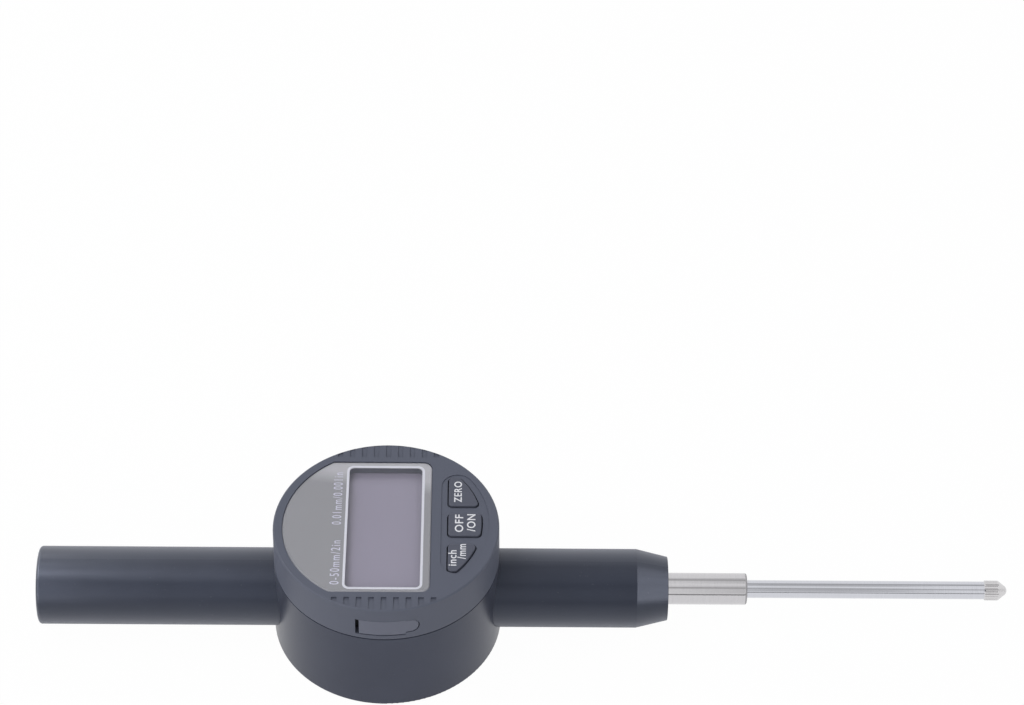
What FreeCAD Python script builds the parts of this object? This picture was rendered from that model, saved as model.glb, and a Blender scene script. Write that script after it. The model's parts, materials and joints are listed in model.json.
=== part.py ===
import FreeCAD, Part
import math
import os

# Digital indicator lying on its flat back.
# +X runs along the spindle towards the contact point, +Z out of the display face.
# The origin is the centre of the flat back, and all sizes are millimetres.

Vector = FreeCAD.Vector
Placement = FreeCAD.Placement
Rotation = FreeCAD.Rotation

AXIS_X = Vector(1, 0, 0)
AXIS_Y = Vector(0, 1, 0)
AXIS_Z = Vector(0, 0, 1)
SAME_PLACE = 1e-4

# Travel and tubes
spindle_travel = 50.8
rear_tube_radius = 9.81
nose_step = 0.11
tube_wall = 1.6
tube_web = 0.38
tube_insert = 3.8
rear_tube_cap = 2.0
rear_tube_edge_round = 0.8
nose_end_radius = 8.0
nose_taper_length = 7.9
nose_wall = 4.6
nose_edge_round = 0.15

# Stem
stem_radius = 4.0
stem_root_wall = 0.5
stem_length = 20.1
stem_edge_round = 0.6
stem_flange_thickness = 2.8
stem_bore_radius = 3.1
stem_front_wall = 1.0
bushing_length = 8.0

# Spindle and contact point
spindle_radius = 2.25
spindle_reach = 60.0
spindle_tail = 2.0
spindle_end_gap = 1.8
contact_radius = 2.5
contact_bevel = 0.25
knurl_length = 3.6
knurl_grooves = 22
knurl_depth = 0.22
knurl_share = 0.48
knurl_land = 0.3
contact_cone_length = 1.5
contact_ball_radius = 1.5
contact_neck_radius = 1.29
contact_stud_radius = 1.2
contact_stud_length = 5.0

# Clearances: running on a shaft, sliding, seated, and between things that move past
running_clearance = 0.03
slide_clearance = 0.05
seat_clearance = 0.02
moving_gap = 0.3

# Head seen from the front
seam_radius = 28.18
cover_draft = 0.1
case_draft = 0.52
case_wall = 2.18
cover_wall = 2.1
rear_edge_round = 0.5
face_edge_bevel = 0.35
seam_gap = 0.25
rim_gap = 0.1
rim_bevel = 0.2

# Rear case and back plate
back_plate_thickness = 1.5
back_rim = 1.8
lip_thickness = 1.7
collar_wall = 2.0
back_boss_count = 4
back_boss_margin = 2.8
back_boss_radius = 3.2
back_boss_height = 7.0
chassis_boss_margin = 2.3
chassis_boss_radius = 2.0
chassis_boss_angles = (60, 120, 240, 300)

# Scale and sensor inside the case
carrier_side_room = 4.41
carrier_seat = 1.5
carrier_thickness = 1.5
carrier_corner = 1.0
strip_thickness = 0.8
strip_reach = 5.8
strip_end_margin = 4.4
strip_side_margin = 0.3
sensor_gap = 0.3
sensor_thickness = 1.2
sensor_half_length = 11.0
sensor_side_margin = 2.5
sensor_post_height = 0.9
sensor_post_radius = 2.0
sensor_screw_gap = 1.2
chassis_thickness = 1.6
chassis_gap = 0.7
link_radius = 1.2

# Guides, return spring and bumper
guide_rod_radius = 1.5
guide_rod_wall = 1.11
guide_rod_socket = 2.0
guide_block_length = 8.0
guide_block_inset = 0.8
guide_arm_front = 42.0
guide_arm_length = 6.0
guide_arm_half_width = 4.2
guide_arm_lug = 1.6
spring_side_gap = 1.1
spring_drop = 2.0
spring_mean_radius = 1.6
spring_wire_radius = 0.22
spring_turns = 11
spring_tail = 1.5
spring_hook = 1.0
bumper_wall = 1.05
bumper_thickness = 1.9

# Turning joint between the head and the case
ring_thickness = 1.5
ring_width = 6.9
ring_side_gap = 0.4
ring_grip = 2.7
hub_step = 1.0
stop_reach = 1.4
stop_half_angle = 9.5
stop_root = 1.0
ring_screw_inset = 5.0
ring_screw_count = 3
ring_screw_turn = 30
washer_thickness = 0.2
washer_inset = 1.3
washer_width = 5.5

# Front cover, its window and its grip grooves
face_thickness = 2.3
window_thickness = 0.35
window_bevel = 0.25
mask_thickness = 0.15
print_gap = 0.03
panel_margin = 2.38
panel_corner_room = 2.5
key_side_width = 16.98
panel_corner = 2.3
panel_gap = 0.15
view_left = -9.66
view_side_margin = 2.44
view_end_margin = 1.75
view_corner = 1.3
view_step = 0.1
grip_grooves = 9
grip_pitch = 3.03
grip_width = 1.35
grip_depth = 0.4
grip_depth_outside = 0.1
grip_length = 4.1
grip_margin = 0.38

# Keys and the shallow recess around them
keypad_recess_depth = 0.2
keypad_recess_inset = 2.5
keypad_recess_margin = 1.6
keypad_recess_corner = 4.0
key_inset = 1.5
key_arc_margin = 3.58
key_arc_x = -0.5
key_arc_y = 0.9
power_key_low = -3.8
power_key_height = 8.1
zero_key_spacing = 2.0
zero_key_tip_width = 3.21
unit_key_spacing = 2.2
unit_key_tip_width = 2.6
key_corner = 1.3
key_gap = 0.3
key_rise = 0.5
key_edge_round = 0.25
key_flange = 0.6
key_flange_thickness = 0.9
key_travel = 0.5
key_stop_gap = 0.1
key_plunger_radius = 2.0
key_pad_spread = 0.4
mat_thickness = 0.5
mat_pad_height = 0.6

# Electronics in the head
base_thickness = 1.3
board_rise = 2.05
board_thickness = 1.2
board_margin = 1.4
lcd_thickness = 1.3
lcd_margin = 0.5
lcd_gap = 0.2
lcd_frame_wall = 1.4
lcd_frame_reach = 1.6
lcd_frame_overhang = 0.5
zebra_width = 1.6
chip_radius = 4.5
chip_height = 1.1
chip_slope = 0.8
chip_y = 5.0
cover_boss_radius = 1.9
cover_boss_margin = 2.25
cover_boss_angle = 30
cover_boss_side = 2.2

# Battery drawer, its bay, its cell and its contacts
cell_radius = 5.8
cell_height = 3.05
cell_cap_height = 0.5
cell_cap_step = 0.7
cell_edge_round = 0.4
cell_side = 10.2
drawer_front = 2.98
cell_clearance = 0.1
drawer_left_wall = 1.15
drawer_right_wall = 1.8
drawer_height = 4.74
drawer_tongue = 3.1
drawer_step_low = 0.65
drawer_step_high = 0.25
drawer_side_gap = 0.25
drawer_top_gap = 0.06
drawer_end_flat = 0.3
drawer_notch = 0.9
drawer_floor = 0.7
drawer_ledge = 0.6
drawer_tail = 0.9
drawer_shrink = 0.06
bay_wall = 1.2
contact_thickness = 0.2
lower_contact_half_width = 2.0
lower_contact_reach = 4.0
upper_contact_ledge = 1.5
finger_half_width = 1.5
finger_slot_half = 2.5
finger_root = 1.2
finger_reach = 1.5
finger_land = 0.4

# Screws
small_screw_radius = 0.8
small_head_radius = 1.5
small_head_height = 0.8
screw_radius = 1.0
head_radius = 1.7
head_height = 1.2
back_screw_radius = 1.25
back_head_radius = 2.4
slot_width = 0.5
slot_depth = 0.5
back_thread_depth = 5.0
lip_thread_depth = 1.2
sensor_thread_depth = 2.2
ring_thread_depth = 2.75
cover_thread_web = 0.3
hole_end_gap = 0.5

# How far a cut runs past the face that it opens
overcut = 1.0

# Tubes from the rear tube's size
stem_root_radius = stem_radius + stem_root_wall
nose_radius = rear_tube_radius + nose_step
nose_bore = nose_radius - tube_wall
rear_bore = rear_tube_radius - tube_wall
stem_flange_radius = nose_bore - slide_clearance
carrier_half_width = rear_bore - carrier_side_room
sensor_screw_offset = carrier_half_width + sensor_screw_gap + small_head_radius
sensor_half_width = sensor_screw_offset + sensor_side_margin

# Heights from the back, each from what lies under it
axis_height = back_plate_thickness + tube_web + nose_radius
carrier_low = axis_height + carrier_seat
carrier_top = carrier_low + carrier_thickness
strip_top = carrier_top + strip_thickness
sensor_under = strip_top + sensor_gap
sensor_top = sensor_under + sensor_thickness
chassis_under = sensor_top + sensor_post_height
chassis_top = chassis_under + chassis_thickness
lip_over_tube = axis_height + nose_radius + tube_web
lip_over_chassis = chassis_top + chassis_gap + ring_thickness + moving_gap
lip_under = max(lip_over_tube, lip_over_chassis)
seam_height = lip_under + lip_thickness
ring_top = lip_under - moving_gap
ring_under = ring_top - ring_thickness
rod_z = axis_height - rear_bore + guide_rod_wall + guide_rod_radius
bumper_bore = spindle_radius + moving_gap
bumper_radius = bumper_bore + bumper_wall
spring_z = axis_height - spring_drop
spring_y = spring_side_gap + spring_mean_radius + spring_wire_radius - nose_bore
tail_z = spring_z + spring_mean_radius
head_low = seam_height + seam_gap
rim_low = seam_height + rim_gap
base_top = head_low + base_thickness
drawer_low = base_top + moving_gap
drawer_top = drawer_low + drawer_height
bay_top = drawer_top + drawer_top_gap
cell_low = drawer_low + drawer_floor
cell_top = cell_low + cell_height
board_low = base_top + board_rise
board_top = board_low + board_thickness
lcd_low = bay_top + contact_thickness + lcd_gap
lcd_top = lcd_low + lcd_thickness
plate_under = lcd_top + slide_clearance
head_depth = plate_under + face_thickness
pocket_floor = head_depth - window_thickness - mask_thickness
recess_floor = head_depth - keypad_recess_depth
key_top = recess_floor + key_rise
flange_top = plate_under - slide_clearance
flange_low = flange_top - key_flange_thickness
mat_top = board_top + mat_thickness
plunger_low = mat_top + mat_pad_height + key_travel + key_stop_gap

# Radii about the head's axis, each from the seam's
face_radius = seam_radius - cover_draft
rear_radius = seam_radius + case_draft
case_inner_radius = seam_radius - case_wall
cover_inner_radius = face_radius - cover_wall
back_plate_radius = rear_radius - back_rim
back_boss_circle = case_inner_radius - back_boss_margin
chassis_boss_circle = case_inner_radius - chassis_boss_margin
ring_outer_radius = chassis_boss_circle - chassis_boss_radius - ring_side_gap - stop_reach
ring_inner_radius = ring_outer_radius - ring_width
ring_screw_circle = ring_outer_radius - ring_screw_inset
lip_inner_radius = ring_outer_radius - ring_grip
washer_inner_radius = lip_inner_radius + washer_inset
washer_outer_radius = washer_inner_radius + washer_width
hub_radius = lip_inner_radius - moving_gap
hub_inner_radius = ring_inner_radius - hub_step
panel_radius = face_radius - panel_margin
key_arc_radius = face_radius - key_arc_margin
keypad_recess_radius = key_arc_radius + keypad_recess_margin
grip_outer_radius = face_radius - grip_margin
grip_inner = grip_outer_radius - grip_length
base_radius = cover_inner_radius - slide_clearance
board_radius = cover_inner_radius - board_margin
cover_boss_circle = cover_inner_radius - cover_boss_margin

# Places along X, from the head's centre outwards
tube_seat = case_inner_radius - tube_insert
guide_block_front = -tube_seat - guide_block_inset
guide_block_rear = guide_block_front - guide_block_length
spindle_rear = guide_block_rear - spindle_tail
rear_tube_inside = spindle_rear - spindle_travel - spindle_end_gap
rear_tube_end = rear_tube_inside - rear_tube_cap
carrier_rear = -strip_reach - strip_end_margin
carrier_front = spindle_travel + strip_reach + strip_end_margin
bumper_rear = carrier_front + moving_gap
stem_flange_rear = bumper_rear + bumper_thickness
stem_flange_front = stem_flange_rear + stem_flange_thickness
nose_end = stem_flange_front + nose_wall
nose_taper_start = nose_end - nose_taper_length
stem_end = nose_end + stem_length
spindle_end = stem_end + spindle_reach
knurl_end = spindle_end + knurl_length
contact_cone_end = knurl_end + contact_cone_length
guide_arm_rear = guide_arm_front - guide_arm_length

# Places on the face: the panel keeps its margins to the rim and to the keys
panel_right = face_radius - key_side_width
panel_half_height = math.sqrt(panel_radius ** 2 - (panel_right + panel_corner_room) ** 2)
view_right = panel_right - view_side_margin
view_half_height = panel_half_height - view_end_margin
keypad_recess_left = panel_right + keypad_recess_inset
key_left = keypad_recess_left + key_inset
zero_tip_x = key_left - key_arc_x + zero_key_tip_width
unit_tip_x = key_left - key_arc_x + unit_key_tip_width
power_key_high = power_key_low + power_key_height
zero_key_low = power_key_high + zero_key_spacing
zero_key_high = key_arc_y + math.sqrt(key_arc_radius ** 2 - zero_tip_x ** 2)
unit_key_high = power_key_low - unit_key_spacing
unit_key_low = key_arc_y - math.sqrt(key_arc_radius ** 2 - unit_tip_x ** 2)
cover_boss_x = panel_right + cover_boss_side

# Battery drawer around its cell
cell_x = panel_right - cell_side
cell_y = drawer_front + cell_radius - face_radius
drawer_left = cell_x - cell_radius - drawer_left_wall
drawer_right = cell_x + cell_radius + drawer_right_wall
drawer_step_x = drawer_right - drawer_tongue
drawer_tail_y = cell_y + cell_radius + cell_clearance + drawer_tail
bay_back = drawer_tail_y + moving_gap
bay_left = drawer_left - moving_gap
bay_right = drawer_right + moving_gap
key_rows = {
    "zero_key": (zero_key_low, zero_key_high),
    "power_key": (power_key_low, power_key_high),
    "unit_key": (unit_key_low, unit_key_high),
}


def block(x_low, x_high, y_low, y_high, z_low, z_high):
    """A box between two corners."""
    corner = Vector(x_low, y_low, z_low)
    return Part.makeBox(x_high - x_low, y_high - y_low, z_high - z_low, corner)


def upright(radius, z_low, z_high, x=0.0, y=0.0):
    """A cylinder along Z."""
    return Part.makeCylinder(radius, z_high - z_low, Vector(x, y, z_low), AXIS_Z)


def lengthwise(radius, x_low, x_high, y=0.0, z=axis_height):
    """A cylinder along X, on the spindle's axis unless told otherwise."""
    return Part.makeCylinder(radius, x_high - x_low, Vector(x_low, y, z), AXIS_X)


def turned_upright(profile):
    """A solid turned about the head's axis, from points of (radius, height)."""
    points = [Vector(radius, 0, height) for radius, height in profile]
    face = Part.Face(Part.makePolygon(points + points[:1]))
    return face.revolve(Vector(0, 0, 0), AXIS_Z, 360)


def turned_lengthwise(profile):
    """A solid turned about the spindle's axis, from points of (x, radius)."""
    points = [Vector(x, 0, axis_height + radius) for x, radius in profile]
    face = Part.Face(Part.makePolygon(points + points[:1]))
    return face.revolve(Vector(0, 0, axis_height), AXIS_X, 360)


def turned_about_head(shape, angle):
    """A copy of a shape, turned about the head's axis."""
    copy = shape.copy()
    copy.rotate(Vector(0, 0, 0), AXIS_Z, angle)
    return copy


def on_circle(radius, angle):
    """The X and Y of a point on a circle about the head's axis."""
    turn = math.radians(angle)
    return radius * math.cos(turn), radius * math.sin(turn)


def edges_along(shape, direction, test=None):
    """The straight edges parallel to a direction, where the test allows their middle."""
    found = []
    for edge in shape.Edges:
        if edge.Curve.TypeId != "Part::GeomLine":
            continue
        along = edge.tangentAt(edge.FirstParameter)
        if abs(abs(along.dot(direction)) - 1) > SAME_PLACE:
            continue
        if test is None or test(edge.CenterOfMass):
            found.append(edge)
    return found


def rings_at(shape, axis_index, place, radius):
    """The circular edges at one place along an axis, of one radius."""
    found = []
    for edge in shape.Edges:
        if edge.Curve.TypeId != "Part::GeomCircle":
            continue
        centre = edge.Curve.Center
        same_radius = abs(edge.Curve.Radius - radius) < SAME_PLACE
        if same_radius and abs(centre[axis_index] - place) < SAME_PLACE:
            found.append(edge)
    return found


def countersunk_screw(shank, head, x, y, z_head, z_tip):
    """A countersunk screw along Z, its slotted head flush at z_head."""
    up = 1 if z_tip > z_head else -1
    cone = Part.makeCone(head, shank, head - shank, Vector(x, y, z_head), Vector(0, 0, up))
    body = upright(shank, min(z_head, z_tip), max(z_head, z_tip), x, y)
    low = min(z_head, z_head + up * slot_depth)
    slot = block(x - head, x + head, y - slot_width / 2, y + slot_width / 2, low, low + slot_depth)
    return cone.fuse(body).cut(slot)


def countersink(shank, head, x, y, z_head, z_tip):
    """The hole that a countersunk screw sits in."""
    up = 1 if z_tip > z_head else -1
    wide = head + seat_clearance
    narrow = shank + seat_clearance
    cone = Part.makeCone(wide, narrow, wide - narrow, Vector(x, y, z_head), Vector(0, 0, up))
    return cone.fuse(upright(narrow, min(z_head, z_tip), max(z_head, z_tip), x, y))


def cheese_screw(x, y, z_under, z_tip):
    """A small round-headed screw pointing up, its head below z_under."""
    head = upright(head_radius, z_under - head_height, z_under, x, y)
    body = upright(screw_radius, z_under, z_tip, x, y)
    slot_low = z_under - head_height
    slot = block(x - head_radius, x + head_radius, y - slot_width / 2, y + slot_width / 2,
                 slot_low, slot_low + slot_depth)
    return head.fuse(body).cut(slot)


# Rear case and its back

def back_boss_points():
    """The centres of the four screw bosses at the back."""
    step = 360 / back_boss_count
    return [on_circle(back_boss_circle, step / 2 + step * i) for i in range(back_boss_count)]


def chassis_points():
    """The centres of the screws that hold the chassis."""
    return [on_circle(chassis_boss_circle, angle) for angle in chassis_boss_angles]


def case_inside():
    """The room inside the rear case, between the back plate and the lip."""
    return upright(case_inner_radius, back_plate_thickness, lip_under)


def tube_collar(x_low, x_high, radius):
    """The thick ring inside the case that holds the end of a tube."""
    ring = lengthwise(radius + collar_wall, x_low, x_high)
    return ring.common(case_inside())


def rear_case():
    """A cup open at the back, with an inward lip at the front that the head turns on."""
    shell = turned_upright([
        (back_plate_radius + seat_clearance, 0),
        (rear_radius, 0),
        (seam_radius, seam_height),
        (lip_inner_radius, seam_height),
        (lip_inner_radius, lip_under),
        (case_inner_radius, lip_under),
        (case_inner_radius, back_plate_thickness),
        (back_plate_radius + seat_clearance, back_plate_thickness),
    ])
    shell = shell.makeFillet(rear_edge_round, rings_at(shell, 2, 0, rear_radius))
    adds = [tube_collar(-case_inner_radius - overcut, -tube_seat, rear_tube_radius)]
    adds.append(tube_collar(tube_seat, case_inner_radius + overcut, nose_radius))
    for x, y in back_boss_points():
        boss = upright(back_boss_radius, back_plate_thickness, back_plate_thickness + back_boss_height,
                       x, y)
        adds.append(boss.common(case_inside()))
    for x, y in chassis_points():
        boss = upright(chassis_boss_radius, chassis_top, lip_under, x, y)
        adds.append(boss.common(case_inside()))
    adds.append(case_stop())
    shell = shell.fuse(adds).removeSplitter()
    for x, y in back_boss_points():
        shell = shell.cut(upright(back_screw_radius + seat_clearance, back_plate_thickness,
                                  back_plate_thickness + back_thread_depth, x, y))
    for x, y in chassis_points():
        shell = shell.cut(upright(screw_radius + seat_clearance, chassis_top,
                                  lip_under + lip_thread_depth, x, y))
    shell = shell.cut(lengthwise(rear_tube_radius + seat_clearance, -rear_radius - overcut,
                                 -tube_seat + overcut))
    return shell.cut(lengthwise(nose_radius + seat_clearance, tube_seat - overcut,
                                rear_radius + overcut))


def stop_segment(inner, outer, z_low, z_high, angle):
    """A short arc-shaped block about the head's axis."""
    ring = upright(outer, z_low, z_high).cut(upright(inner, z_low, z_high))
    reach = 2 * outer
    side_x, side_y = on_circle(reach, stop_half_angle)
    corners = [Vector(0, 0, z_low), Vector(side_x, -side_y, z_low), Vector(side_x, side_y, z_low)]
    wedge = Part.Face(Part.makePolygon(corners + corners[:1])).extrude(Vector(0, 0, z_high - z_low))
    return turned_about_head(ring.common(wedge), angle)


def case_stop():
    """The stop under the lip, at the side away from the battery drawer."""
    inner = ring_outer_radius + moving_gap
    outer = ring_outer_radius + stop_reach + moving_gap
    return stop_segment(inner, outer, ring_under, lip_under, 90)


def back_plate():
    """The flat disc that closes the back, and that the indicator lies on."""
    plate = upright(back_plate_radius, 0, back_plate_thickness)
    for x, y in back_boss_points():
        plate = plate.cut(countersink(back_screw_radius, back_head_radius, x, y, 0,
                                      back_plate_thickness))
    return plate


def back_screws():
    """The screws of the back plate."""
    tip = back_plate_thickness + back_thread_depth - hole_end_gap
    return [countersunk_screw(back_screw_radius, back_head_radius, x, y, 0, tip)
            for x, y in back_boss_points()]


# Tubes, nose and stem

def rear_tube():
    """The long closed tube that takes the spindle's rear end when it is pushed in."""
    tube = turned_lengthwise([
        (rear_tube_end, 0),
        (rear_tube_end, rear_tube_radius),
        (-tube_seat, rear_tube_radius),
        (-tube_seat, rear_bore),
        (rear_tube_inside, rear_bore),
        (rear_tube_inside, 0),
    ])
    return tube.makeFillet(rear_tube_edge_round, rings_at(tube, 0, rear_tube_end, rear_tube_radius))


def nose_tube():
    """The front tube with its taper and the thick wall that grips the stem."""
    tube = turned_lengthwise([
        (tube_seat, nose_bore),
        (tube_seat, nose_radius),
        (nose_taper_start, nose_radius),
        (nose_end, nose_end_radius),
        (nose_end, stem_root_radius + seat_clearance),
        (stem_flange_front, stem_root_radius + seat_clearance),
        (stem_flange_front, nose_bore),
    ])
    return tube.makeFillet(nose_edge_round, rings_at(tube, 0, nose_end, nose_end_radius))


def stem():
    """The ground stem: a flange and a thicker root in the nose wall, and a bore for two bushings."""
    front_bore = spindle_radius + moving_gap
    tube = turned_lengthwise([
        (stem_flange_rear, stem_bore_radius),
        (stem_flange_rear, stem_flange_radius),
        (stem_flange_front, stem_flange_radius),
        (stem_flange_front, stem_root_radius),
        (nose_end, stem_root_radius),
        (nose_end, stem_radius),
        (stem_end, stem_radius),
        (stem_end, front_bore),
        (stem_end - stem_front_wall, front_bore),
        (stem_end - stem_front_wall, stem_bore_radius),
    ])
    tube = tube.makeFillet(stem_edge_round, rings_at(tube, 0, stem_end, stem_radius))
    rod_hole = lengthwise(guide_rod_radius + seat_clearance, stem_flange_rear,
                          stem_flange_rear + guide_rod_socket, 0, rod_z)
    tail_hole = lengthwise(spring_wire_radius + slide_clearance, stem_flange_rear,
                           stem_flange_rear + spring_hook + hole_end_gap, spring_y, tail_z)
    return tube.cut(rod_hole).cut(tail_hole)


def bushing(x_low):
    """A bronze liner that the spindle runs in."""
    outer = lengthwise(stem_bore_radius, x_low, x_low + bushing_length)
    return outer.cut(lengthwise(spindle_radius + running_clearance, x_low, x_low + bushing_length))


def front_bushing():
    """The liner behind the stem's front wall."""
    return bushing(stem_end - stem_front_wall - bushing_length)


def rear_bushing():
    """The liner at the stem's rear end."""
    return bushing(stem_flange_rear)


def bumper():
    """The rubber ring that the carrier meets when the spindle is fully out."""
    ring = lengthwise(bumper_radius, bumper_rear, stem_flange_rear)
    rod = lengthwise(guide_rod_radius + moving_gap, bumper_rear, stem_flange_rear, 0, rod_z)
    return ring.cut(lengthwise(bumper_bore, bumper_rear, stem_flange_rear)).cut(rod)


# Guides and sensor inside the case

def guide_block():
    """The guide in the rear tube's mouth, slotted for the carrier to pass."""
    rear = guide_block_rear
    front = guide_block_front
    body = lengthwise(rear_bore - seat_clearance, rear, front)
    body = body.cut(lengthwise(spindle_radius + running_clearance, rear, front))
    body = body.cut(lengthwise(guide_rod_radius + seat_clearance, rear, front, 0, rod_z))
    half = carrier_half_width + moving_gap
    slot = block(rear, front, -half, half, carrier_low - moving_gap, axis_height + rear_tube_radius)
    return body.cut(slot)


def guide_rod():
    """The thin rod under the spindle that keeps it from turning."""
    return lengthwise(guide_rod_radius, guide_block_rear, stem_flange_rear + guide_rod_socket, 0, rod_z)


def return_spring():
    """The long tension spring that draws the spindle out."""
    low = guide_arm_front + spring_tail
    high = stem_flange_rear - spring_tail
    length = high - low
    helix = Part.makeHelix(length / spring_turns, length, spring_mean_radius)
    start = Vector(spring_mean_radius, 0, 0)
    rise = Vector(0, 2 * math.pi * spring_mean_radius, length / spring_turns)
    section = Part.Wire(Part.makeCircle(spring_wire_radius, start, rise))
    coil = Part.Wire(helix.Edges).makePipeShell([section], True, True)
    reach = spring_tail + spring_hook
    for end, z_low, z_high in [(0, -reach, 0), (length, length, length + reach)]:
        bend = Part.makeSphere(spring_wire_radius + seat_clearance, Vector(spring_mean_radius, 0, end))
        tail = upright(spring_wire_radius, z_low, z_high, spring_mean_radius, 0)
        coil = coil.fuse([bend, tail])
    coil.Placement = Placement(Vector(low, spring_y, spring_z), Rotation(AXIS_Y, 90))
    coil.rotate(Vector(low, spring_y, spring_z), AXIS_X, 180)
    return coil


def chassis_outline(z_low, z_high):
    """A disc cut straight beside the two tubes."""
    disc = upright(case_inner_radius - moving_gap, z_low, z_high)
    half = tube_seat - moving_gap
    return disc.common(block(-half, half, -case_inner_radius, case_inner_radius, z_low, z_high))


def chassis_plate():
    """The plate that hangs the sensor board over the scale."""
    plate = chassis_outline(chassis_under, chassis_top)
    for side in (-1, 1):
        plate = plate.fuse(upright(sensor_post_radius, sensor_top, chassis_under, 0,
                                   side * sensor_screw_offset))
    for side in (-1, 1):
        plate = plate.cut(upright(small_screw_radius + seat_clearance, sensor_top,
                                  sensor_top + sensor_thread_depth, 0, side * sensor_screw_offset))
    for x, y in chassis_points():
        plate = plate.cut(upright(screw_radius + seat_clearance, chassis_under, chassis_top, x, y))
    return plate.cut(upright(link_radius + moving_gap, chassis_under, chassis_top))


def chassis_screws():
    """The screws of the chassis plate."""
    tip = lip_under + lip_thread_depth - hole_end_gap
    return [cheese_screw(x, y, chassis_under, tip) for x, y in chassis_points()]


def sensor_board():
    """The board that reads the scale through a narrow gap."""
    board = block(-sensor_half_length, sensor_half_length, -sensor_half_width, sensor_half_width,
                  sensor_under, sensor_top)
    for side in (-1, 1):
        board = board.cut(upright(small_screw_radius + seat_clearance, sensor_under, sensor_top, 0,
                                  side * sensor_screw_offset))
    return board


def sensor_screws():
    """The two small screws of the sensor board."""
    tip = sensor_top + sensor_thread_depth - hole_end_gap
    screws = []
    for side in (-1, 1):
        y = side * sensor_screw_offset
        head = upright(small_head_radius, sensor_under - small_head_height, sensor_under, 0, y)
        screws.append(head.fuse(upright(small_screw_radius, sensor_under, tip, 0, y)))
    return screws


def link_lead():
    """The short bundle of wires on the turning axis, from the sensor board to the main board."""
    return upright(link_radius, sensor_top, board_low - moving_gap)


# Spindle with what it carries

def spindle():
    """The ground rod, with a flat for the scale carrier and a threaded hole in its end."""
    rod = lengthwise(spindle_radius, spindle_rear, spindle_end)
    flat = block(carrier_rear, carrier_front, -spindle_radius, spindle_radius, carrier_low,
                 axis_height + spindle_radius)
    rod = rod.cut(flat)
    hole = lengthwise(contact_stud_radius + seat_clearance,
                      spindle_end - contact_stud_length - hole_end_gap, spindle_end)
    rod = rod.cut(hole)
    for x in carrier_screw_places():
        rod = rod.cut(upright(small_screw_radius + seat_clearance, axis_height, carrier_low, x))
    return rod


def contact_point():
    """The screwed-in tip: a knurled grip, a cone and a ball end."""
    ball_rise = math.sqrt(contact_ball_radius ** 2 - contact_neck_radius ** 2)
    body = turned_lengthwise([
        (spindle_end - contact_stud_length, 0),
        (spindle_end - contact_stud_length, contact_stud_radius),
        (spindle_end, contact_stud_radius),
        (spindle_end, contact_radius - contact_bevel),
        (spindle_end + contact_bevel, contact_radius),
        (knurl_end, contact_radius),
        (contact_cone_end, contact_neck_radius),
        (contact_cone_end, 0),
    ])
    ball = Part.makeSphere(contact_ball_radius, Vector(contact_cone_end - ball_rise, 0, axis_height))
    body = body.fuse(ball)
    groove = knurl_groove()
    grooves = []
    for i in range(knurl_grooves):
        copy = groove.copy()
        copy.rotate(Vector(0, 0, axis_height), AXIS_X, 360 * i / knurl_grooves)
        grooves.append(copy)
    return body.cut(Part.makeCompound(grooves))


def knurl_groove():
    """One V groove along the grip of the contact point."""
    pitch = 2 * math.pi * contact_radius / knurl_grooves
    half = pitch * knurl_share
    top = axis_height + contact_radius + knurl_depth
    bottom = axis_height + contact_radius - knurl_depth
    x = spindle_end - overcut
    corners = [Vector(x, -half, top), Vector(x, half, top), Vector(x, 0, bottom)]
    face = Part.Face(Part.makePolygon(corners + corners[:1]))
    return face.extrude(Vector(knurl_end - knurl_land - x, 0, 0))


def carrier_screw_places():
    """Where the two carrier screws stand, near its ends."""
    inset = strip_end_margin / 2
    return [carrier_rear + inset, carrier_front - inset]


def scale_carrier():
    """The flat bar on the spindle that the scale is stuck to."""
    bar = block(carrier_rear, carrier_front, -carrier_half_width, carrier_half_width, carrier_low,
                carrier_top)
    bar = bar.makeFillet(carrier_corner, edges_along(bar, AXIS_Z))
    for x in carrier_screw_places():
        bar = bar.cut(countersink(small_screw_radius, small_head_radius, x, 0, carrier_top, carrier_low))
    return bar


def scale_strip():
    """The printed scale that the sensor board reads."""
    half = carrier_half_width - strip_side_margin
    return block(carrier_rear + strip_end_margin, carrier_front - strip_end_margin, -half, half,
                 carrier_top, strip_top)


def scale_screws():
    """The screws that hold the carrier to the spindle."""
    tip = axis_height + hole_end_gap
    return [countersunk_screw(small_screw_radius, small_head_radius, x, 0, carrier_top, tip)
            for x in carrier_screw_places()]


def guide_arm():
    """The clamp on the spindle that rides on the guide rod and takes the spring's end."""
    rear = guide_arm_rear
    front = guide_arm_front
    high = carrier_low - moving_gap
    low = axis_height - nose_bore + moving_gap
    body = block(rear, front, -guide_arm_half_width, guide_arm_half_width, low, high)
    lug = block(rear, front, spring_y - guide_arm_lug, 0, spring_z - guide_arm_lug, high)
    body = body.fuse(lug).common(lengthwise(nose_bore - moving_gap, rear, front))
    body = body.removeSplitter()
    body = body.cut(lengthwise(spindle_radius + seat_clearance, rear, front))
    body = body.cut(lengthwise(guide_rod_radius + slide_clearance, rear, front, 0, rod_z))
    body = body.cut(lengthwise(spring_wire_radius + slide_clearance,
                               front - spring_hook - hole_end_gap, front, spring_y, tail_z))
    return body.cut(side_pin(screw_radius + seat_clearance, 0, guide_arm_half_width))


def side_pin(radius, y_low, y_high):
    """A cylinder along Y through the middle of the guide arm."""
    middle = (guide_arm_rear + guide_arm_front) / 2
    return Part.makeCylinder(radius, y_high - y_low, Vector(middle, y_low, axis_height), AXIS_Y)


def arm_screw():
    """The grub screw that clamps the guide arm to the spindle."""
    return side_pin(screw_radius, spindle_radius + seat_clearance,
                    guide_arm_half_width - slide_clearance)


# Turning joint

def friction_washer():
    """The thin washer on the lip that makes the head turn firmly."""
    washer = upright(washer_outer_radius, seam_height, seam_height + washer_thickness)
    return washer.cut(upright(washer_inner_radius, seam_height, seam_height + washer_thickness))


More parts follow.
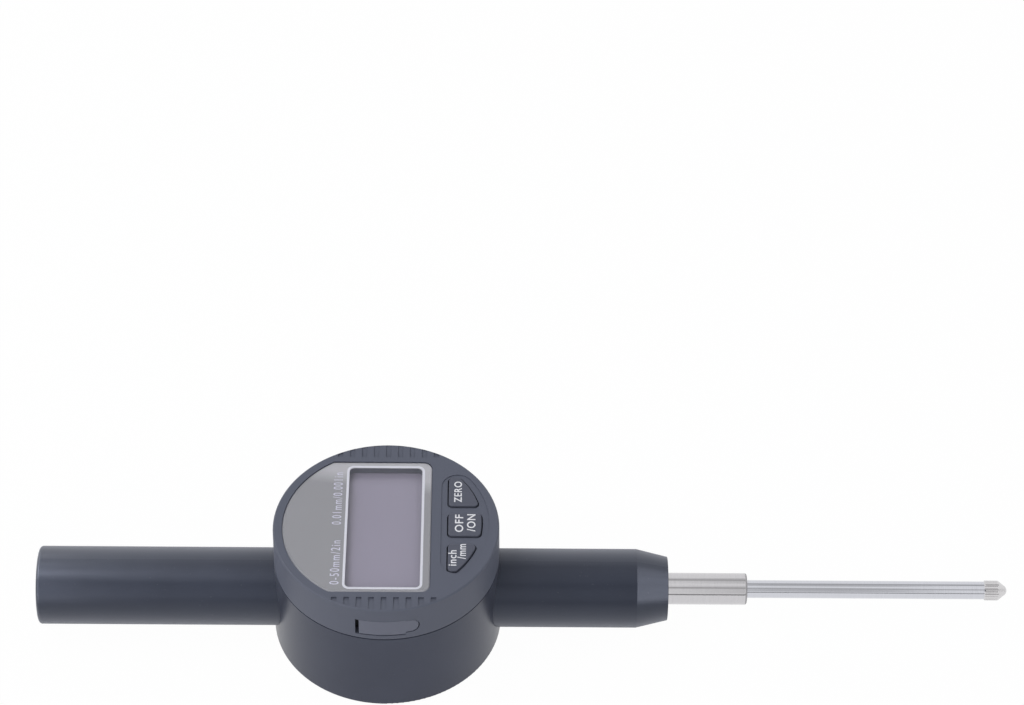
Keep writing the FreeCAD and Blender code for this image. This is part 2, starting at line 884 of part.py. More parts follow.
def ring_screw_points():
    """The centres of the retaining ring's screws."""
    step = 360 / ring_screw_count
    return [on_circle(ring_screw_circle, ring_screw_turn + step * i) for i in range(ring_screw_count)]


def retaining_ring():
    """The ring under the lip that holds the head on and carries its stop."""
    ring = upright(ring_outer_radius, ring_under, ring_top)
    stop = stop_segment(ring_outer_radius - stop_root, ring_outer_radius + stop_reach, ring_under,
                        ring_top, -90)
    ring = ring.fuse(stop).removeSplitter()
    ring = ring.cut(upright(ring_inner_radius, ring_under, ring_top))
    for x, y in ring_screw_points():
        ring = ring.cut(countersink(small_screw_radius, small_head_radius, x, y, ring_under, ring_top))
    return ring


def ring_screws():
    """The screws of the retaining ring."""
    tip = ring_top + ring_thread_depth - hole_end_gap
    return [countersunk_screw(small_screw_radius, small_head_radius, x, y, ring_under, tip)
            for x, y in ring_screw_points()]


# Front cover

def face_prism(radius, left, right, half_height, z_low, z_high):
    """A prism bounded by a circle about the head's axis and by three straight sides."""
    disc = upright(radius, z_low, z_high)
    return disc.common(block(left, right, -half_height, half_height, z_low, z_high))


def panel_prism(grow, z_low, z_high):
    """The display panel's outline: an arc at the left, rounded corners at the right."""
    prism = face_prism(panel_radius + grow, -face_radius, panel_right + grow,
                       panel_half_height + grow, z_low, z_high)
    corners = edges_along(prism, AXIS_Z, lambda middle: middle.x > 0)
    return prism.makeFillet(panel_corner + grow, corners)


def view_prism(grow, z_low, z_high):
    """The outline of the opening over the liquid crystal display."""
    half = view_half_height + grow
    prism = block(view_left - grow, view_right + grow, -half, half, z_low, z_high)
    return prism.makeFillet(view_corner + grow, edges_along(prism, AXIS_Z))


def key_disc(radius, z_low, z_high):
    """The disc whose edge the keys and their recess follow."""
    return upright(radius, z_low, z_high, key_arc_x, key_arc_y)


def key_prism(name, grow, z_low, z_high):
    """One key's outline, grown or shrunk all round."""
    y_low, y_high = key_rows[name]
    side = block(key_left - grow, face_radius, y_low - grow, y_high + grow, z_low, z_high)
    prism = side.common(key_disc(key_arc_radius + grow, z_low, z_high))
    return prism.makeFillet(key_corner + min(grow, 0), edges_along(prism, AXIS_Z))


def keypad_recess():
    """The shallow D-shaped recess around the three keys."""
    reach = face_radius
    side = block(keypad_recess_left, reach, -reach, reach, recess_floor, head_depth)
    prism = side.common(key_disc(keypad_recess_radius, recess_floor, head_depth))
    return prism.makeFillet(keypad_recess_corner, edges_along(prism, AXIS_Z))


def grip_groove(index, side):
    """One of the short finger grooves in the face, which gets shallower towards the rim."""
    x = grip_pitch * (index - (grip_grooves - 1) / 2)
    profile = [(grip_inner, head_depth), (grip_inner, head_depth - grip_depth),
               (face_radius, head_depth - grip_depth_outside), (face_radius, head_depth)]
    points = [Vector(x - grip_width / 2, side * y, z) for y, z in profile]
    wedge = Part.Face(Part.makePolygon(points + points[:1])).extrude(AXIS_X * grip_width)
    return wedge.common(upright(grip_outer_radius, head_depth - grip_depth, head_depth))


def drawer_outline(grow, grow_top, y_low, y_high):
    """The drawer's section seen from the front: a plate with a narrower rounded tongue."""
    plate = block(drawer_left - grow, drawer_step_x, y_low, y_high, drawer_low - grow,
                  drawer_top + grow_top)
    low = drawer_low + drawer_step_low - grow
    high = drawer_top - drawer_step_high + grow_top
    tongue = block(drawer_step_x - overcut, drawer_right + grow, y_low, y_high, low, high)
    ends = edges_along(tongue, AXIS_Y, lambda middle: middle.x > drawer_step_x)
    tongue = tongue.makeFillet((high - low - drawer_end_flat) / 2, ends)
    return plate.fuse(tongue).removeSplitter()


def drawer_opening():
    """The slot in the cover's side, with a finger-nail notch at the left end."""
    outer = -face_radius - overcut
    slot = drawer_outline(drawer_side_gap, drawer_top_gap, outer, bay_back)
    floor = block(bay_left, drawer_step_x, outer, bay_back, base_top, drawer_low)
    notch = block(drawer_left - drawer_notch, drawer_left, outer, bay_back, base_top, bay_top)
    return slot.fuse([floor, notch])


def cover_boss_points():
    """The centres of the four posts that join the cover to the base."""
    left_x, left_y = on_circle(cover_boss_circle, 180 - cover_boss_angle)
    right_y = math.sqrt(cover_boss_circle ** 2 - cover_boss_x ** 2)
    return [(left_x, left_y), (left_x, -left_y), (cover_boss_x, right_y), (cover_boss_x, -right_y)]


def cover_boss(x, y):
    """A post under the face that presses the main board on the base."""
    post = upright(cover_boss_radius, board_top, plate_under, x, y)
    return post.common(upright(cover_inner_radius, board_top, plate_under))


def front_cover():
    """The turning front shell with its display window, key openings and drawer slot."""
    shell = turned_upright([
        (cover_inner_radius, rim_low),
        (seam_radius - rim_bevel, rim_low),
        (seam_radius, rim_low + rim_bevel),
        (face_radius, head_depth - face_edge_bevel),
        (face_radius - face_edge_bevel, head_depth),
        (0, head_depth),
        (0, plate_under),
        (cover_inner_radius, plate_under),
    ])
    shell = shell.fuse([cover_boss(x, y) for x, y in cover_boss_points()]).removeSplitter()
    cuts = [panel_prism(panel_gap, pocket_floor, head_depth)]
    cuts.append(view_prism(view_step, plate_under, pocket_floor))
    cuts.append(keypad_recess())
    for name in key_rows:
        cuts.append(key_prism(name, 0, plate_under, recess_floor))
    for index in range(grip_grooves):
        cuts.append(grip_groove(index, -1))
        cuts.append(grip_groove(index, 1))
    cuts.append(drawer_opening())
    for x, y in cover_boss_points():
        cuts.append(upright(screw_radius + seat_clearance, board_top, plate_under - cover_thread_web,
                            x, y))
    return shell.cut(cuts)


def display_window():
    """The clear panel let into the face, with its front edge bevelled."""
    panel = panel_prism(0, pocket_floor + mask_thickness + print_gap, head_depth)
    front_edges = [edge for edge in panel.Edges if edge.BoundBox.ZMin > head_depth - window_bevel]
    return panel.makeChamfer(window_bevel, front_edges)


def window_mask():
    """The printed sheet under the clear panel, open over the display."""
    sheet = panel_prism(0, pocket_floor, pocket_floor + mask_thickness)
    return sheet.cut(view_prism(0, pocket_floor, pocket_floor + mask_thickness))


# Head base and what it carries

def bay_outer():
    """The block around the battery bay, before the bay is cut out."""
    return block(bay_left - bay_wall, bay_right + bay_wall, -case_inner_radius, bay_back + bay_wall,
                 base_top, bay_top)


def head_base():
    """The turning base: hub, screw posts and the walls of the battery bay."""
    base = upright(base_radius, head_low, base_top)
    base = base.fuse(upright(hub_radius, ring_top, head_low))
    inside = upright(base_radius, base_top, board_low)
    posts = [upright(cover_boss_radius, base_top, board_low, x, y).common(inside)
             for x, y in cover_boss_points()]
    bay = bay_outer().common(upright(cover_inner_radius - moving_gap, base_top, bay_top))
    room = block(bay_left, bay_right, -case_inner_radius, bay_back, base_top, bay_top)
    base = base.fuse(posts + [bay.cut(room)]).removeSplitter()
    base = base.cut(upright(hub_inner_radius, ring_top, head_low))
    base = base.cut(upright(link_radius + moving_gap, head_low, base_top))
    for x, y in cover_boss_points():
        base = base.cut(countersink(screw_radius, head_radius, x, y, head_low, board_low))
    for x, y in ring_screw_points():
        base = base.cut(upright(small_screw_radius + seat_clearance, ring_top,
                                ring_top + ring_thread_depth, x, y))
    return base


def cover_screws():
    """The screws through the base and the main board into the cover."""
    tip = plate_under - cover_thread_web - hole_end_gap
    return [countersunk_screw(screw_radius, head_radius, x, y, head_low, tip)
            for x, y in cover_boss_points()]


def main_board():
    """The circuit board, cut away for the battery bay, with its moulded chip."""
    board = upright(board_radius, board_low, board_top)
    gap = slide_clearance
    cut_out = block(bay_left - bay_wall - gap, bay_right + bay_wall + gap, -board_radius,
                    bay_back + bay_wall + gap, board_low, board_top)
    board = board.cut(cut_out)
    for x, y in cover_boss_points():
        board = board.cut(upright(screw_radius + seat_clearance, board_low, board_top, x, y))
    chip = Part.makeCone(chip_radius, chip_radius - chip_slope, chip_height,
                         Vector((view_left + view_right) / 2, chip_y, board_top), AXIS_Z)
    return board.fuse(chip).removeSplitter()


def lcd_box():
    """The low and high X and the half height of the display glass."""
    return view_left - lcd_margin, view_right + lcd_margin, view_half_height + lcd_margin


def lcd_panel():
    """The liquid crystal display under the face."""
    low, high, half = lcd_box()
    return block(low, high, -half, half, lcd_low, lcd_top)


def lcd_frame_box():
    """The frame's outer low and high X and Y."""
    low, high, half = lcd_box()
    y_low = bay_back + bay_wall + moving_gap
    return low - lcd_frame_reach, high + lcd_frame_reach, y_low, half + lcd_frame_overhang


def lcd_frame():
    """The frame that holds the display off the main board."""
    x_low, x_high, y_low, y_high = lcd_frame_box()
    wall = lcd_frame_wall
    outer = block(x_low, x_high, y_low, y_high, board_top, lcd_low)
    inner = block(x_low + wall, x_high - wall, y_low + wall, y_high - wall, board_top, lcd_low)
    return outer.cut(inner).common(upright(base_radius, board_top, lcd_low))


def zebra_strips():
    """The two rubber strips that connect the display to the board."""
    x_low, x_high, y_low, y_high = lcd_frame_box()
    wall = lcd_frame_wall
    y_from = y_low + wall
    y_to = y_high - wall
    left = block(x_low + wall, x_low + wall + zebra_width, y_from, y_to, board_top, lcd_low)
    right = block(x_high - wall - zebra_width, x_high - wall, y_from, y_to, board_top, lcd_low)
    return [left, right]


def key_mat():
    """The silicone sheet with one raised pad under each key."""
    sheet = block(key_left, face_radius, unit_key_low, zero_key_high, board_top, mat_top)
    sheet = sheet.common(upright(board_radius - slide_clearance, board_top, mat_top))
    for name in key_rows:
        x, y = key_middle(name)
        pad = Part.makeCone(key_plunger_radius + key_pad_spread, key_plunger_radius, mat_pad_height,
                            Vector(x, y, mat_top), AXIS_Z)
        sheet = sheet.fuse(pad)
    return sheet.removeSplitter()


def key_middle(name):
    """The X and Y of the middle of a key."""
    centre = key_prism(name, 0, 0, 1).Solids[0].CenterOfMass
    return centre.x, centre.y


def key(name):
    """A key: its cap in the opening, a flange under the face and a plunger."""
    cap = key_prism(name, -key_gap, flange_low, key_top)
    top_edges = [edge for edge in cap.Edges if edge.BoundBox.ZMin > flange_top]
    cap = cap.makeFillet(key_edge_round, top_edges)
    flange = key_prism(name, key_flange, flange_low, flange_top)
    x, y = key_middle(name)
    plunger = upright(key_plunger_radius, plunger_low, flange_low, x, y)
    return cap.fuse([flange, plunger]).removeSplitter()


# Battery drawer, cell and contacts

def battery_drawer():
    """The sliding holder: its front follows the cover, and its tray rings the cell."""
    body = drawer_outline(0, 0, -seam_radius, drawer_tail_y)
    body = body.common(upright(seam_radius - drawer_shrink, drawer_low, drawer_top))
    room = upright(cell_radius + cell_clearance, cell_low, drawer_top, cell_x, cell_y)
    hole = upright(cell_radius - drawer_ledge, drawer_low, cell_low, cell_x, cell_y)
    finger = block(cell_x - finger_slot_half, cell_x + finger_slot_half, cell_y, drawer_tail_y,
                   cell_top, drawer_top)
    return body.cut([room, hole, finger])


def button_cell():
    """The button cell, with the step of its smaller negative cap below."""
    can_low = cell_low + cell_cap_height
    can = upright(cell_radius, can_low, cell_top, cell_x, cell_y)
    can = can.makeFillet(cell_edge_round, rings_at(can, 2, cell_top, cell_radius))
    cap = upright(cell_radius - cell_cap_step, cell_low, can_low, cell_x, cell_y)
    return can.fuse(cap).removeSplitter()


def lower_contact():
    """The flat contact spring on the floor of the bay."""
    left = cell_x - lower_contact_half_width
    right = cell_x + lower_contact_half_width
    strip = block(left, right, cell_y - lower_contact_reach, bay_back, base_top,
                  base_top + contact_thickness)
    leg = block(left, right, bay_back - contact_thickness, bay_back, base_top, bay_top)
    return strip.fuse(leg).removeSplitter()


def upper_contact():
    """The contact over the cell, with one finger bent down to it."""
    high = bay_top + contact_thickness
    plate = block(bay_left - bay_wall, bay_right + bay_wall, bay_back - upper_contact_ledge,
                  bay_back + bay_wall, bay_top, high)
    left = cell_x - finger_half_width
    root_y = bay_back - finger_root
    tip_y = cell_y + finger_reach
    land_y = tip_y - finger_land
    low = cell_top + slide_clearance
    corners = [
        Vector(left, root_y, high),
        Vector(left, root_y, bay_top),
        Vector(left, tip_y, low),
        Vector(left, land_y, low),
        Vector(left, land_y, low + contact_thickness),
    ]
    side = Part.Face(Part.makePolygon(corners + corners[:1]))
    finger = side.extrude(Vector(2 * finger_half_width, 0, 0))
    return plate.fuse(finger).removeSplitter()


BUILDERS = [
    rear_case,
    back_plate,
    back_screws,
    rear_tube,
    nose_tube,
    stem,
    front_bushing,
    rear_bushing,
    bumper,
    guide_block,
    guide_rod,
    return_spring,
    chassis_plate,
    chassis_screws,
    sensor_board,
    sensor_screws,
    link_lead,
    friction_washer,
    spindle,
    contact_point,
    scale_carrier,
    scale_strip,
    scale_screws,
    guide_arm,
    arm_screw,
    front_cover,
    display_window,
    window_mask,
    lcd_panel,
    lcd_frame,
    zebra_strips,
    main_board,
    key_mat,
    head_base,
    cover_screws,
    retaining_ring,
    ring_screws,
    lower_contact,
    upper_contact,
    battery_drawer,
    button_cell,
]


def write_node(name, shape):
    """Write one sub-part, a list of solids as one group, to its own file."""
    if isinstance(shape, list):
        shape = Part.makeCompound(shape)
    shape.exportStep("parts/" + name + ".step")
    state = "valid" if shape.isValid() else "INVALID"
    print(name, len(shape.Solids), state, round(shape.Volume, 2))


def main():
    """Build every sub-part."""
    os.makedirs("parts", exist_ok=True)
    for build in BUILDERS:
        write_node(build.__name__, build())
    for name in key_rows:
        write_node(name, key(name))


main()
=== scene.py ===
# %% [markdown]
# # A digital indicator
# This lesson dresses one long-travel digital indicator: a round display head that turns on a
# round case, a closed tube behind it, a nose tube and a ground stem in front, and a sliding
# spindle with a ball-ended point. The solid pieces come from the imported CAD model, which the
# first line below loads as a fixed frame. Here they get their finishes, and the printed
# lettering, which has no thickness worth building in CAD, is modelled on top of them.

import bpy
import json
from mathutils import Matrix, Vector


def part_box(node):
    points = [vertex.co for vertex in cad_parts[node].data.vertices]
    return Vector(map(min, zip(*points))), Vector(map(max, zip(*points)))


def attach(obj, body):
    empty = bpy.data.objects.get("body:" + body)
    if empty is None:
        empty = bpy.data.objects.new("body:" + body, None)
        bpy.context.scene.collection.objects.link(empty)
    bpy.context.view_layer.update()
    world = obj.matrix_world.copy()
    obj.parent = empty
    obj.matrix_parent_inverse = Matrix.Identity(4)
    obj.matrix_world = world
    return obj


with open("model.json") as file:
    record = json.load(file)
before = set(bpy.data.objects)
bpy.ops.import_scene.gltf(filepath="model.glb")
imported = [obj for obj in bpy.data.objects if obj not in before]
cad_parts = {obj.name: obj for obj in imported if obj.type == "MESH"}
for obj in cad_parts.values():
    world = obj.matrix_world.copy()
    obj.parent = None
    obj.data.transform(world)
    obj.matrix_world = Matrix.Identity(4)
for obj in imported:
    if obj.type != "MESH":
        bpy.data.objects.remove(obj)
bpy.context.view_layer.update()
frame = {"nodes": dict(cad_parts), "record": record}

# %% [markdown]
# Blender works in metres and the indicator is small, so one value turns millimetres into
# metres, and every size below is written in the millimetres of a workshop drawing.

# %% Units and modules
import json
import math

import bmesh
import bpy
from mathutils import Matrix, Vector

MM = 0.001


def corner_mm(node, which):
    """The lowest (0) or highest (1) corner of a CAD node, in millimetres."""
    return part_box(node)[which] / MM


key_top = corner_mm("zero_key", 1).z
print_plane = corner_mm("window_mask", 1).z
print("key top at", round(key_top, 3), "mm, print plane at", round(print_plane, 3), "mm")

# %% [markdown]
# ## The camera
# The photograph was taken with a long lens from above and in front. Its outlines fix the place,
# the turn and the focal length of the camera: it looks down at 44 degrees from 0.86 m away. The
# picture's centre is the lens's axis, so no shift is needed.

# %% Camera
camera_place = Vector((24.1085, -566.9829, 646.3924)) * MM
camera_azimuth = math.radians(-0.654)
camera_elevation = math.radians(44.217)
camera_roll = math.radians(0.839)
lens_length = 118.121
film_width = 36.0

back = Vector((
    math.sin(camera_azimuth) * math.cos(camera_elevation),
    -math.cos(camera_azimuth) * math.cos(camera_elevation),
    math.sin(camera_elevation),
))
level = Vector((math.cos(camera_azimuth), math.sin(camera_azimuth), 0))
upward = back.cross(level)
right = level * math.cos(camera_roll) + upward * math.sin(camera_roll)
above = upward * math.cos(camera_roll) - level * math.sin(camera_roll)

camera = bpy.data.objects.new("camera", bpy.data.cameras.new("camera"))
camera.data.sensor_width = film_width
camera.data.lens = lens_length
camera.data.clip_start = 0.01
turn = Matrix((right, above, back)).transposed().to_4x4()
camera.matrix_world = Matrix.Translation(camera_place) @ turn
bpy.context.scene.collection.objects.link(camera)
bpy.context.scene.camera = camera
print("camera", round(camera_place.length, 3), "m away")

# %% [markdown]
# ## A small language for shaders
# A node tree is hard to read when every sum takes five lines. The class `Flow` wraps one output
# socket, so that `0.4 + 0.1 * grain` adds the two Math nodes by itself. The class `Finish` is one
# material: its method `add` makes any other node from its type, its settings and its inputs.

# %% Sockets as numbers
OPERATIONS = {
    "__add__": "ADD", "__sub__": "SUBTRACT", "__mul__": "MULTIPLY",
    "__truediv__": "DIVIDE", "__pow__": "POWER",
}


class Flow:
    """One output socket that can be added, multiplied and compared like a number."""

    def __init__(self, finish, socket):
        self.finish = finish
        self.socket = socket

    def maths(self, operation, *others):
        return self.finish.add("Math", {"operation": operation}, self, *others)

    def above(self, limit):
        return self.maths("GREATER_THAN", limit)

    def below(self, limit):
        return self.maths("LESS_THAN", limit)

    def clamped(self):
        return self.finish.add("Clamp", {}, self)


def forward(operation):
    return lambda flow, other: flow.maths(operation, other)


def reflected(operation):
    return lambda flow, other: flow.finish.add("Math", {"operation": operation}, other, flow)


for method, operation in OPERATIONS.items():
    setattr(Flow, method, forward(operation))
    setattr(Flow, method.replace("__", "__r", 1), reflected(operation))
print("Flow understands", sorted(OPERATIONS))


# %% A material in one class
class Finish:
    """A node material. Its nodes are added one by one, and the last goes to the output."""

    def __init__(self, name, tree=None):
        if tree is None:
            self.material = bpy.data.materials.new(name)
            self.material.use_nodes = True
            tree = self.material.node_tree
        self.tree = tree
        tree.nodes.clear()

    def add(self, kind, settings, *values, out=0, **named):
        """One node. Settings come first, then its inputs by order or by name."""
        node = self.tree.nodes.new("ShaderNode" + kind)
        for key, value in settings.items():
            setattr(node, key, value)
        for index, value in enumerate(values):
            self.feed(node.inputs[index], value)
        for key, value in named.items():
            self.feed(node.inputs[key.replace("_", " ")], value)
        return Flow(self, node.outputs[out])

    def feed(self, socket, value):
        """Links a Flow to a socket, or sets a plain number or colour on it."""
        if isinstance(value, Flow):
            self.tree.links.new(value.socket, socket)
        elif value is not None:
            socket.default_value = value

    def place(self, stretch=(1, 1, 1)):
        """Object coordinates in millimetres, stretched along an axis if asked."""
        here = self.add("TexCoord", {}, out="Object")
        scale = tuple(s / MM for s in stretch)
        return self.add("Mapping", {}, here, Scale=scale)

    def noise(self, where, scale, detail=2.0, roughness=0.5):
        """Cloudy noise around 0.5; scale is in features for each millimetre."""
        return self.add("TexNoise", {}, Vector=where, Scale=scale, Detail=detail,
                        Roughness=roughness)

    def blend(self, factor, first, second):
        """A mix of two colours, whose sockets are known by number only."""
        node = self.tree.nodes.new("ShaderNodeMix")
        node.data_type = "RGBA"
        for index, value in ((0, factor), (6, first), (7, second)):
            self.feed(node.inputs[index], value)
        return Flow(self, node.outputs[2])

    def bump(self, height, depth, strength=1.0, normal=None):
        """Small relief: depth is the height in millimetres of a step from 0 to 1."""
        return self.add("Bump", {}, Height=height, Distance=depth * MM, Strength=strength,
                        Normal=normal)

    def parts(self, vector):
        """The X, Y and Z of a vector."""
        node = self.add("SeparateXYZ", {}, vector).socket.node
        return [Flow(self, output) for output in node.outputs]

    def rays(self):
        """Whether a ray comes from the camera, off a glossy surface or through a clear one."""
        node = self.add("LightPath", {}).socket.node
        kinds = ("Is Camera Ray", "Is Glossy Ray", "Is Transmission Ray")
        return [Flow(self, node.outputs[kind]) for kind in kinds]

    def surface(self, **inputs):
        """The Principled shader with these inputs, sent to the material's output."""
        return self.send(self.add("BsdfPrincipled", {}, **inputs))

    def send(self, shader, output="OutputMaterial"):
        """Links a shader to the output node that the tree gets here."""
        node = self.tree.nodes.new("ShaderNode" + output)
        self.feed(node.inputs["Surface"], shader)
        return self


print("Finish is ready")

# %% [markdown]
# ## Light
# The studio is a white room. The camera sees it as plain white, and it is dimmer where it lights
# matt surfaces, so that the shapes keep their shading. What a metal bar mirrors gives it its
# look: in the photograph the stem shows thin dark lines between bright bands, where it mirrors
# the gaps between the soft boxes. These gaps run along the object, so the world is darkened by
# the angle of a direction round the X axis: 0 is the horizon in front, 90 is straight up and 180
# the horizon behind. Over the spindle, two wide stretches are a little dimmer as well. Matt
# surfaces see an even room that is only dimmer low in front, which shades the front of the case.

# %% World
class Studio(Finish):
    """The world's node tree, and how bright each direction in it is."""

    def __init__(self, name):
        world = bpy.data.worlds.new(name)
        world.use_nodes = True
        bpy.context.scene.world = world
        super().__init__(name, world.node_tree)
        self.across, behind, up = self.parts(self.add("TexCoord", {}, out="Generated"))
        self.angle = up.maths("ARCTAN2", behind * -1) * math.degrees(1)

    def peak(self, value, centre, half_width, edge):
        """1 round a centre and 0 further off than the half width, with soft edges."""
        offset = (value - centre).maths("ABSOLUTE")
        return ((half_width - offset) / edge).clamped()

    def gap(self, angle, half_width, depth):
        """A dark strip across the room, centred on one angle, with soft edges."""
        return self.peak(self.angle, angle, half_width, half_width) * depth


WHITE = (1.0, 1.0, 1.0, 1.0)
ROOM_TINT = (0.93, 0.96, 1.0, 1.0)
GAPS = (
    # angle, half width, depth
    (2, 10, 0.95),
    (54, 9, 0.62),
    (115, 13, 0.58),
)
front_gap = (15, 30, 0.5)
STRETCHES = (
    # angle, half width, edge
    (110, 26, 6),
    (42, 30, 6),
)
stretch_depth = 0.38
spindle_direction = (0.10, 0.034, 0.012)
room_light = 0.42

studio = Studio("studio")
upper, lower = (studio.peak(studio.angle, *stretch) for stretch in STRETCHES)
darkness = (upper + lower) * studio.peak(studio.across, *spindle_direction) * stretch_depth
for row in GAPS:
    darkness = darkness.maths("MAXIMUM", studio.gap(*row))
front_light = 1 - studio.gap(*front_gap)

seen, glossy, through = studio.rays()
soft = studio.add("Background", {}, ROOM_TINT, front_light * room_light)
banded = studio.add("Background", {}, WHITE, 1 - darkness)
white = studio.add("Background", {}, WHITE, 1.0)
lit = studio.add("MixShader", {}, glossy, soft, banded)
studio.send(studio.add("MixShader", {}, (seen + through).clamped(), lit, white), "OutputWorld")
print("world light on matt surfaces:", room_light)

# %% [markdown]
# Soft boxes stand where the photograph's highlights lie: one straight over the object, one low
# behind and one in front, and one at each side, which lifts the flanks of the round case. Only
# the overhead one is seen in the paint, as the soft light band along the tubes.

# %% Lamps
LAMPS = (
    # name, place, size along and across, watts, seen in glossy surfaces
    ("overhead_box", (-0.47, -0.08, 0.75), (0.8, 0.55), 3.4, True),
    ("rear_box", (0.05, 0.80, 0.55), (0.9, 0.4), 1.8, False),
    ("front_box", (0.05, -0.80, 0.45), (0.9, 0.4), 1.8, False),
    ("right_front_box", (0.45, -0.62, 0.62), (0.3, 0.3), 0.45, False),
    ("left_box", (-0.75, -0.15, 0.20), (0.5, 0.5), 1.1, False),
    ("right_box", (0.85, -0.15, 0.20), (0.5, 0.5), 0.2, False),
)
aim = Vector((0.02, 0, 0.015))


def soft_box(name, place, size, watts, target, for_matt, for_gloss, lit_only=None):
    """A rectangular area lamp that faces a target point, and may light one collection only."""
    lamp = bpy.data.lights.new(name, "AREA")
    lamp.shape = "RECTANGLE"
    lamp.size, lamp.size_y = size
    lamp.energy = watts
    lamp_object = bpy.data.objects.new(name, lamp)
    lamp_object.location = place
    facing = Vector(place) - Vector(target)
    lamp_object.rotation_euler = facing.to_track_quat("Z", "Y").to_euler()
    lamp_object.visible_camera = False
    lamp_object.visible_diffuse = for_matt
    lamp_object.visible_glossy = for_gloss
    if lit_only:
        lamp_object.light_linking.receiver_collection = lit_only
    bpy.context.scene.collection.objects.link(lamp_object)


for name, place, size, watts, for_gloss in LAMPS:
    soft_box(name, place, size, watts, aim, True, for_gloss)
print("lamps:", [row[0] for row in LAMPS])

# %% [markdown]
# Two arches of reflector cards stand round the object's long axis. They light nothing but the
# gloss of the two tubes, whose satin paint mirrors them: the right arch gives the nose's cone its
# bright facet, and the left one, close to the rear tube's end, makes the tube fade from light to
# dark.

# %% Reflector cards
CARDS = (
    # name, middle along X, radius, length along X, and angle, width and watts of each card
    ("right_card", 0.66, 0.90, 0.35, (
        (15, 0.45, 3.0), (45, 0.45, 2.8), (75, 0.45, 2.6), (105, 0.45, 2.2))),
    ("left_card", -0.31, 0.30, 0.36, (
        (8, 0.17, 0.9), (42, 0.17, 0.7), (84, 0.10, 1.0), (112, 0.10, 0.8), (142, 0.12, 0.6))),
)
tubes = bpy.data.collections.new("tubes")
for tube in ("rear_tube", "nose_tube"):
    tubes.objects.link(frame["nodes"][tube])
for name, middle, radius, length, row in CARDS:
    for angle, width, watts in row:
        turn_x = math.radians(angle)
        place = (middle, -radius * math.cos(turn_x), radius * math.sin(turn_x) + aim.z)
        soft_box(name + "_" + str(angle), place, (length, width), watts, (middle, 0, aim.z),
                 False, True, tubes)
print("cards:", sum(len(row[-1]) for row in CARDS))

# %% [markdown]
# The floor is a pale sheet. To the camera most of its brightness is plain white, so that it meets
# the white background without an edge, and the rest is real shading, which keeps a faint shadow.

# %% Floor
floor_half = 3.0
floor_colour = (0.85, 0.85, 0.86, 1.0)
glow_share = 0.98

sheet_mesh = bmesh.new()
bmesh.ops.create_grid(sheet_mesh, x_segments=1, y_segments=1, size=floor_half)
floor_data = bpy.data.meshes.new("floor")
sheet_mesh.to_mesh(floor_data)
sheet_mesh.free()
floor = bpy.data.objects.new("floor", floor_data)
bpy.context.scene.collection.objects.link(floor)

pale = Finish("pale_floor")
seen, glossy, through = pale.rays()
matt = pale.add("BsdfDiffuse", {}, floor_colour)
glow = pale.add("Emission", {}, WHITE, 1.0)
share = (seen + glossy + through).clamped() * glow_share
pale.send(pale.add("MixShader", {}, share, matt, glow))
floor_data.materials.append(pale.material)
print("floor", 2 * floor_half, "m wide")

# %% [markdown]
# ## Finishes
# ### Painted metal
# The case and the tubes wear a satin grey-blue paint. Sprayed paint is never flat: it has a fine
# orange peel, it takes light unevenly in soft clouds, and a little dust sits on it. The tubes are
# darker and glossier than the case, and their paint turns pale where it is seen edge-on.

# %% Case and tube paint
SPECK = (0.30, 0.30, 0.32, 1)
PALE_SHEEN = (0.28, 0.29, 0.33, 1)
PEEL_DEPTH = 0.010


def paint(name, colour, speck_share, gloss_index, edge_light):
    """Satin sprayed paint with orange peel, soft clouds and specks, and a sheen at its edges."""
    coat = Finish(name)
    where = coat.place()
    clouds = coat.noise(where, 0.06, 3.0)
    peel = coat.noise(where, 3.2, 2.0)
    grit = coat.noise(where, 9.0, 1.0)
    specks = coat.noise(where, 2.1, 0.0).above(1 - speck_share)
    light = tuple(min(1.0, c * 1.28 + 0.004) for c in colour)
    shade = coat.blend((clouds - 0.5) * 1.6 + 0.5, (*colour, 1), (*light, 1))
    grained = coat.blend((grit - 0.5) * 0.9 + 0.3, shade, (*light, 1))
    dusted = coat.blend(specks * 0.06, grained, SPECK)
    relief = coat.bump(peel + grit * 0.35, PEEL_DEPTH)
    body = coat.add(
        "BsdfPrincipled", {}, Base_Color=dusted, Normal=relief,
        Roughness=0.24 + 0.08 * clouds + 0.05 * grit, Metallic=0.35, IOR=gloss_index,
    )
    if not edge_light:
        return coat.send(body)
    grazing = coat.add("LayerWeight", {}, Blend=0.5, out="Facing")
    sheen = coat.add("BsdfDiffuse", {}, PALE_SHEEN, Normal=relief)
    return coat.send(coat.add("MixShader", {}, grazing ** 1.4 * edge_light, body, sheen))


case_paint = paint("case_paint", (0.041, 0.046, 0.068), 0.16, 1.38, 0.0)
tube_paint = paint("tube_paint", (0.0145, 0.019, 0.034), 0.17, 1.44, 0.88)
print("paints:", case_paint.material.name, tube_paint.material.name)

# %% [markdown]
# ### Moulded plastic
# The head is a moulding with a fine spark-eroded texture. It is even in colour, and a little
# lighter than the paint. The keys are a darker plastic with a finer texture. The battery drawer
# gets a lighter copy of the cover's plastic, which paints on its front the extra light there.

# %% Cover and key plastic
def moulding(name, colour, grain, depth, rough):
    """Matt moulded plastic: fine pits from the mould, faint flow clouds."""
    shell = Finish(name)
    where = shell.place()
    pits = shell.noise(where, grain, 3.0, 0.6)
    clouds = shell.noise(where, 0.09, 2.0)
    light = tuple(min(1.0, c * 1.16) for c in colour)
    tint = shell.blend((pits - 0.5) * 1.2 + 0.4, (*colour, 1), (*light, 1))
    return shell.surface(
        Base_Color=shell.blend(clouds * 0.5, tint, (*light, 1)),
        Roughness=rough + 0.08 * pits,
        Normal=shell.bump(pits, depth),
        IOR=1.40,
    )


